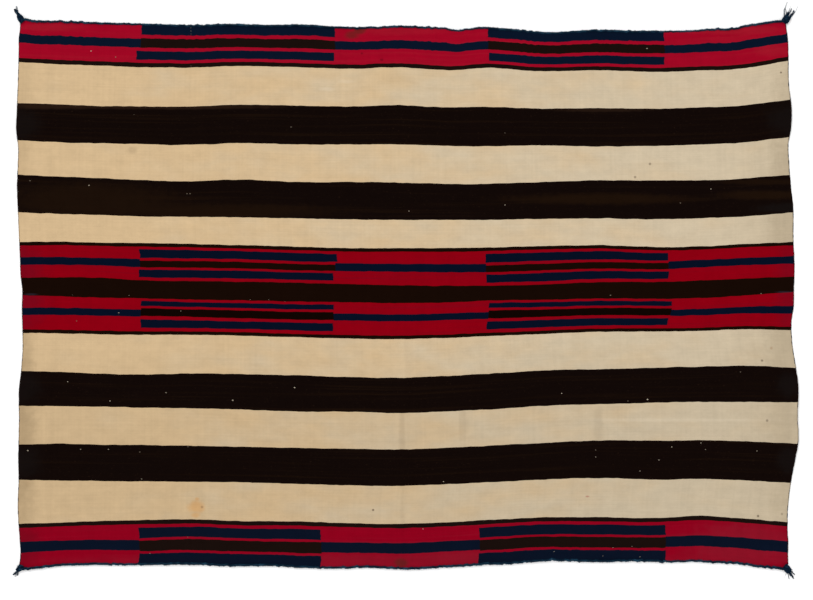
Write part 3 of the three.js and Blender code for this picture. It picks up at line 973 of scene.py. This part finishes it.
def knot_yarns(knot, place):
    """Turns of yarn wound over one another round a core, in the shape of the knot"""
    length = knot["back"] + knot["ahead"]
    half_height = (KNOT_HEIGHT - KNOT_YARN) / 2
    yarns = []
    for layer in rows_of(KNOT_LAYERS):
        span = layer["stop"] - layer["start"]
        turns = length * span / KNOT_YARN * CLOSENESS
        steps = round(turns * TURN_STEPS)
        route = []
        for step in range(steps + 1):
            t = layer["start"] + span * step / steps
            turn = math.tau * turns * step / steps
            grown = 1 - ROOT_NARROWING * max(1 - t / BELLY, 0) ** 2
            wide = grown * (1 - knot["narrowing"] * max((t - BELLY) / (1 - BELLY), 0) ** 1.5)
            half_width = (knot["half_width"] - KNOT_YARN / 2) * wide
            x = half_width * math.cos(turn)
            y = length * t - knot["back"] + layer["lean"] * math.cos(turn + LEAN_TURN)
            z = KNOT_HEIGHT / 2 + half_height * min(wide * FLATNESS, 1) * math.sin(turn)
            route.append(place(x, y, z))
        yarns += twisted(route, [KNOT_YARN] * len(route), KNOT_PITCH)
    for side in CORE_SIDES:
        inner = (knot["half_width"] - KNOT_YARN) * side
        yarns.append([])
        for k in range(CORE_STEPS + 1):
            t = k / CORE_STEPS
            x = inner * (1 - CORE_NARROWING * t)
            point = place(x, t * length - knot["back"], KNOT_HEIGHT / 2)
            yarns[-1].append((point, KNOT_YARN * CORE_YARN))
    return yarns


def strand_route(place, strand, steps):
    """The way of a loose end: out of the knot, down to the floor and along it"""
    angle = math.radians(strand["turn"])
    lying = strand["thickness"] / 2
    route = []
    for step in range(steps + 1):
        t = step / steps
        ahead, aside = t * strand["length"], -strand["bend"] * t * t
        x = aside * math.cos(angle) - ahead * math.sin(angle)
        y = ahead * math.cos(angle) + aside * math.sin(angle)
        drop = max(1 - STRAND_DROP * t, 0) ** 1.5
        route.append(place(x, y, lying + (KNOT_HEIGHT / 2 - lying) * drop))
    return route


def loop_route(place, loop):
    """The way of an end that turns back on itself into the knot"""
    lying = loop["thickness"] / 2
    route = []
    for step in range(LOOP_STEPS + 1):
        t = step / LOOP_STEPS
        angle = math.radians(loop["out_turn"] + (loop["back_turn"] - loop["out_turn"]) * t)
        ahead = loop["length"] * math.sin(math.pi * t) ** LOOP_BOW
        height = lying + (KNOT_HEIGHT / 2 - lying) * max(1 - LOOP_DROP * min(t, 1 - t), 0)
        route.append(place(-ahead * math.sin(angle), ahead * math.cos(angle), height))
    return route


def tapered(thickness, loss, steps):
    """The thickness at each step of a yarn that loses a share of it by its tip"""
    return [thickness * (1 - loss * k / steps) for k in range(steps + 1)]


def tassel_material():
    shader = Shader("tassel_wool")
    worn = shader.add("ShaderNodeAttribute", {}, attribute_name="worn").outputs["Fac"]
    colour = patched(shader, "tassel", "faded_tassel", size=0.005, fade=(0.45, 0.75), detail=3)
    colour = shader.blend(worn, colour, wool_colour("broken_fibre"))
    relief = fibres(shader, size=0.0006, depth=0.0002, strength=0.4)
    return shader.finish(colour, roughness=0.94, bump=relief)


tassel_wool = tassel_material()
for tassel in rows_of(TASSELS):
    place = tassel_place(tassel)
    yarns = knot_yarns(tassel, place)
    for strand in own_rows(STRANDS, tassel):
        route = strand_route(place, strand, STRAND_STEPS)
        yarns += twisted(route, tapered(strand["thickness"], STRAND_TAPER, STRAND_STEPS), STRAND_PITCH)
    for loop in own_rows(LOOPS, tassel):
        route = loop_route(place, loop)
        yarns += twisted(route, [loop["thickness"]] * len(route), STRAND_PITCH)
    worn = [0.0 for yarn in yarns for _ in yarn]
    for wisp in own_rows(WISPS, tassel):
        route = strand_route(place, wisp, WISP_STEPS)
        shares = [WISP_ROOT - WISP_TAPER * k / WISP_STEPS for k in range(WISP_STEPS + 1)]
        yarns.append([(point, wisp["thickness"] * share) for point, share in zip(route, shares)])
        worn += [min(k / WORN_STEPS, 1) for k in range(WISP_STEPS + 1)]
    mesh = yarn_mesh("bound_" + tassel["node"], yarns)
    set_along(mesh, "worn", "FLOAT", worn)
    mesh.materials.append(tassel_wool)
    bound = bpy.data.objects.new(mesh.name, mesh)
    bpy.context.scene.collection.objects.link(bound)
    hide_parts(tassel["node"])
    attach(bound, "root")

# Slubs: small thick places of undyed fibre that were spun into the dark yarns and now stand on
# the face of the dark bands. Their places and sizes are in the photograph's pixels.
SLUBS = (
    ("photo_x", "photo_y", "size"),
    (91, 51, 1.2), (115.6, 57, 1.0), (191, 28, 0.6), (191, 31, 0.6), (191, 34, 0.6), (191, 66, 0.7),
    (647, 48.5, 1.1), (30, 180.7, 1.2), (89, 185.3, 1.5), (187, 193.7, 1.1), (190, 193.7, 1.1),
    (134, 114.6, 0.6), (291, 127, 1.0), (409, 211, 1.0), (505, 133, 0.8), (505, 205, 0.9),
    (680.5, 203, 1.1), (711, 189, 1.0), (166, 392.7, 1.1), (232.7, 400.3, 1.6), (110, 401, 1.1),
    (67.6, 381.7, 1.0), (294.6, 387.6, 1.4), (561.7, 393.4, 1.0), (647.6, 399.5, 1.5), (628, 401, 1.0),
    (740.5, 372, 1.0), (27.8, 450.6, 1.5), (80.6, 449.3, 1.0), (108.4, 449.3, 1.0), (139.8, 452, 1.0),
    (188, 446.7, 1.0), (141.6, 479, 1.0), (443.5, 481.7, 1.0), (595.7, 450, 1.0), (595.7, 457, 1.0),
    (671.8, 447, 1.1), (701, 443, 1.0), (705.5, 449.5, 1.0), (659, 460, 1.0), (640, 471, 1.0),
    (757, 451, 1.0), (610.5, 295.3, 1.3), (761, 293.5, 1.3), (180.8, 311, 0.7), (187.7, 537, 0.8),
    (150, 553.3, 0.7), (423, 529, 0.9), (554, 551.4, 0.8), (640, 556.8, 0.7), (118.7, 312.8, 1.2),
    (76.6, 321, 1.0), (250.3, 299.6, 0.6), (268.7, 299.5, 0.6), (285, 301.5, 0.6), (129, 295.4, 0.6),
    (72.6, 295, 0.6), (613, 547.5, 0.7), (632, 546.5, 0.7), (603, 556, 0.7),
)

# A slub's length and width for its size in the table, its height in metres, how far it may lean
# off the weft's way, and how fast that changes from place to place
SLUB_LENGTH = 1.2
SLUB_WIDTH = 0.8
SLUB_HEIGHT = 0.0005
SLUB_LEAN = 0.5
LEAN_CHANGE = 37

WOOLS["slub"] = (112, 100, 86)
WOOLS["bright_slub"] = (176, 164, 146)


def slub_material():
    shader = Shader("undyed_slub_wool")
    colour = patched(shader, "slub", "bright_slub", size=0.05, fade=(0.4, 0.6), detail=1)
    relief = fibres(shader, size=0.0004, depth=0.0001, strength=0.5)
    return shader.finish(colour, roughness=0.95, bump=relief)


slub_bm = bmesh.new()
for slub in rows_of(SLUBS):
    above = photo_place(slub["photo_x"], slub["photo_y"]) + Vector((0, 0, 0.1))
    face_point = cloth_surface.ray_cast(above, Vector((0, 0, -1)))[0]
    half = slub["size"] * PIXEL / 2000
    turn = SLUB_LEAN * ripple(above.x * LEAN_CHANGE, above.y * LEAN_CHANGE, 7)
    lean = Matrix.Rotation(turn, 4, "Z")
    shape = Matrix.Diagonal((half * SLUB_LENGTH, half * SLUB_WIDTH, SLUB_HEIGHT, 1))
    place = Matrix.Translation(face_point) @ lean @ shape
    bmesh.ops.create_icosphere(slub_bm, subdivisions=2, radius=1, matrix=place)
for face in slub_bm.faces:
    face.smooth = True
slub_mesh = bpy.data.meshes.new("wool_slubs")
slub_bm.to_mesh(slub_mesh)
slub_bm.free()
slub_mesh.materials.append(slub_material())
slubs = bpy.data.objects.new("wool_slubs", slub_mesh)
bpy.context.scene.collection.objects.link(slubs)
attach(slubs, "root")

# The floor: a plain, pale, matt studio floor that the rug lies on, a hair below the frame's.
FLOOR_SIZE = 8.0
FLOOR_DROP = 0.0003
FLOOR_COLOUR = (0.97, 0.97, 0.97, 1)
floor_bm = bmesh.new()
bmesh.ops.create_grid(floor_bm, x_segments=1, y_segments=1, size=FLOOR_SIZE / 2)
bmesh.ops.translate(floor_bm, vec=(0, 0, -FLOOR_DROP), verts=floor_bm.verts[:])
floor_mesh = bpy.data.meshes.new("studio_floor")
floor_bm.to_mesh(floor_mesh)
floor_bm.free()
floor_shader = Shader("pale_floor")
floor_mesh.materials.append(floor_shader.finish(FLOOR_COLOUR, roughness=0.9))
floor = bpy.data.objects.new("studio_floor", floor_mesh)
bpy.context.scene.collection.objects.link(floor)

# The light: an even white surround, with a broad soft key from the upper left that brings out
# the folds without a hard shadow. Together they light a level surface LIGHT times. The key turns
# by KEY_TURN about X and about Y, which together come to nearly KEY_TILT.
KEY_SHARE = 0.2
KEY_TILT = math.radians(50)
KEY_TURN = KEY_TILT * 0.7
KEY_SOFTNESS = math.radians(35)
world = bpy.data.worlds.new("white_surround")
world.use_nodes = True
background = world.node_tree.nodes["Background"]
background.inputs["Color"].default_value = (1, 1, 1, 1)
background.inputs["Strength"].default_value = LIGHT * (1 - KEY_SHARE)
bpy.context.scene.world = world
key_data = bpy.data.lights.new("soft_key", "SUN")
key_data.energy = LIGHT * KEY_SHARE * math.pi / math.cos(KEY_TILT)
key_data.angle = KEY_SOFTNESS
key = bpy.data.objects.new("soft_key", key_data)
key.rotation_euler = (-KEY_TURN, -KEY_TURN, 0)
bpy.context.scene.collection.objects.link(key)

# The camera: straight above, as the photograph was taken, with a long lens. It is at the height
# that gives the photograph's scale on the cloth's face.
PHOTO_WIDTH = 813
PHOTO_HEIGHT = 600
FACE_HEIGHT = 0.003
camera_data = bpy.data.cameras.new("camera")
camera_data.lens = 85
camera_data.sensor_width = 36
camera = bpy.data.objects.new("camera", camera_data)
camera.location = photo_place(PHOTO_WIDTH / 2, PHOTO_HEIGHT / 2)
distance = PHOTO_WIDTH * PIXEL / 1000 * camera_data.lens / camera_data.sensor_width
camera.location.z = distance + FACE_HEIGHT
bpy.context.scene.collection.objects.link(camera)
bpy.context.scene.camera = camera
bpy.context.scene.view_settings.view_transform = "Standard"
